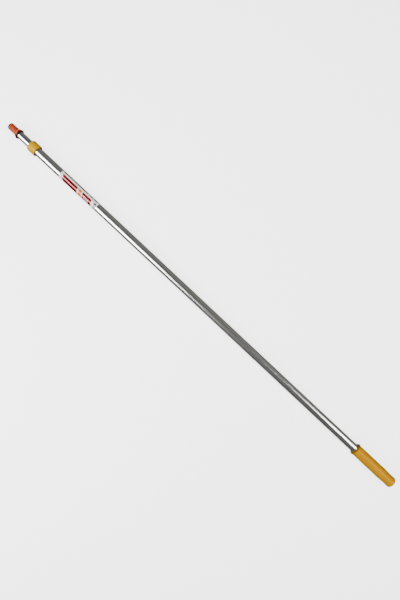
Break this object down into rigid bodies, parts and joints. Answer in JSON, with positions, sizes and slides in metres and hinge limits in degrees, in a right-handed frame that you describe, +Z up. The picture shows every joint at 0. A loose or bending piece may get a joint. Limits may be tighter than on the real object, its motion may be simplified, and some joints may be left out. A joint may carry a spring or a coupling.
{
  "type": "roller extension pole",
  "caption": "Telescopic pole of two round metal tubes with a twist-lock collar, a threaded tip for roller frames and a flanged hand grip.",
  "frame": {"origin": "on the ground under the middle of the collapsed pole, which lies on its side", "axes": "+X along the pole towards the threaded tip, +Z up"},
  "size_m": [1.3504, 0.0326, 0.0327],
  "materials": {
    "tube_aluminium": "drawn, satin",
    "rivet_aluminium": "plain",
    "steel": "zinc plated",
    "red_plastic": "moulded, semi-gloss",
    "yellow_plastic": "moulded, semi-gloss",
    "yellow_grip": "moulded, satin",
    "white_nylon": "natural",
    "black_nylon": "moulded",
    "black_rubber": "plain",
    "label_film": "printed film"
  },
  "bodies": {
    "outer_section": {"outer_tube": "tube_aluminium", "lock_sleeve": "black_nylon", "sleeve_pin": "steel", "label": "label_film", "bump_pad": "black_rubber", "end_plug": "black_nylon", "grip": "yellow_grip"},
    "bush": {"guide_bush": "white_nylon"},
    "inner_section": {"thread_tip": "red_plastic", "tip_rivet": "rivet_aluminium", "inner_tube": "tube_aluminium", "stop_sleeve": "white_nylon", "journal_plug": "black_nylon", "journal_pin": "steel", "bush_washer": "steel"},
    "ring": {"wedge_ring": "white_nylon"},
    "collar": {"lock_collar": "yellow_plastic"}
  },
  "joints": [
    {"name": "extend", "type": "slide", "parent": "outer_section", "child": "bush", "axis": [1, 0, 0], "range_m": [0, 1.05]},
    {"name": "swivel", "type": "hinge", "parent": "bush", "child": "inner_section", "pos_m": [0, 0, 0.01635], "axis": [1, 0, 0], "continuous": true},
    {"name": "ring_travel", "type": "slide", "parent": "outer_section", "child": "ring", "axis": [1, 0, 0], "range_m": [0, 0.0013]},
    {"name": "collar_turn", "type": "hinge", "parent": "ring", "child": "collar", "pos_m": [0.588, 0, 0.01635], "axis": [1, 0, 0], "range_deg": [0, 150]}
  ],
  "couplings": [
    {"joint": "ring_travel", "follows": "collar_turn", "m_per_rad": 0.00047746}
  ]
}
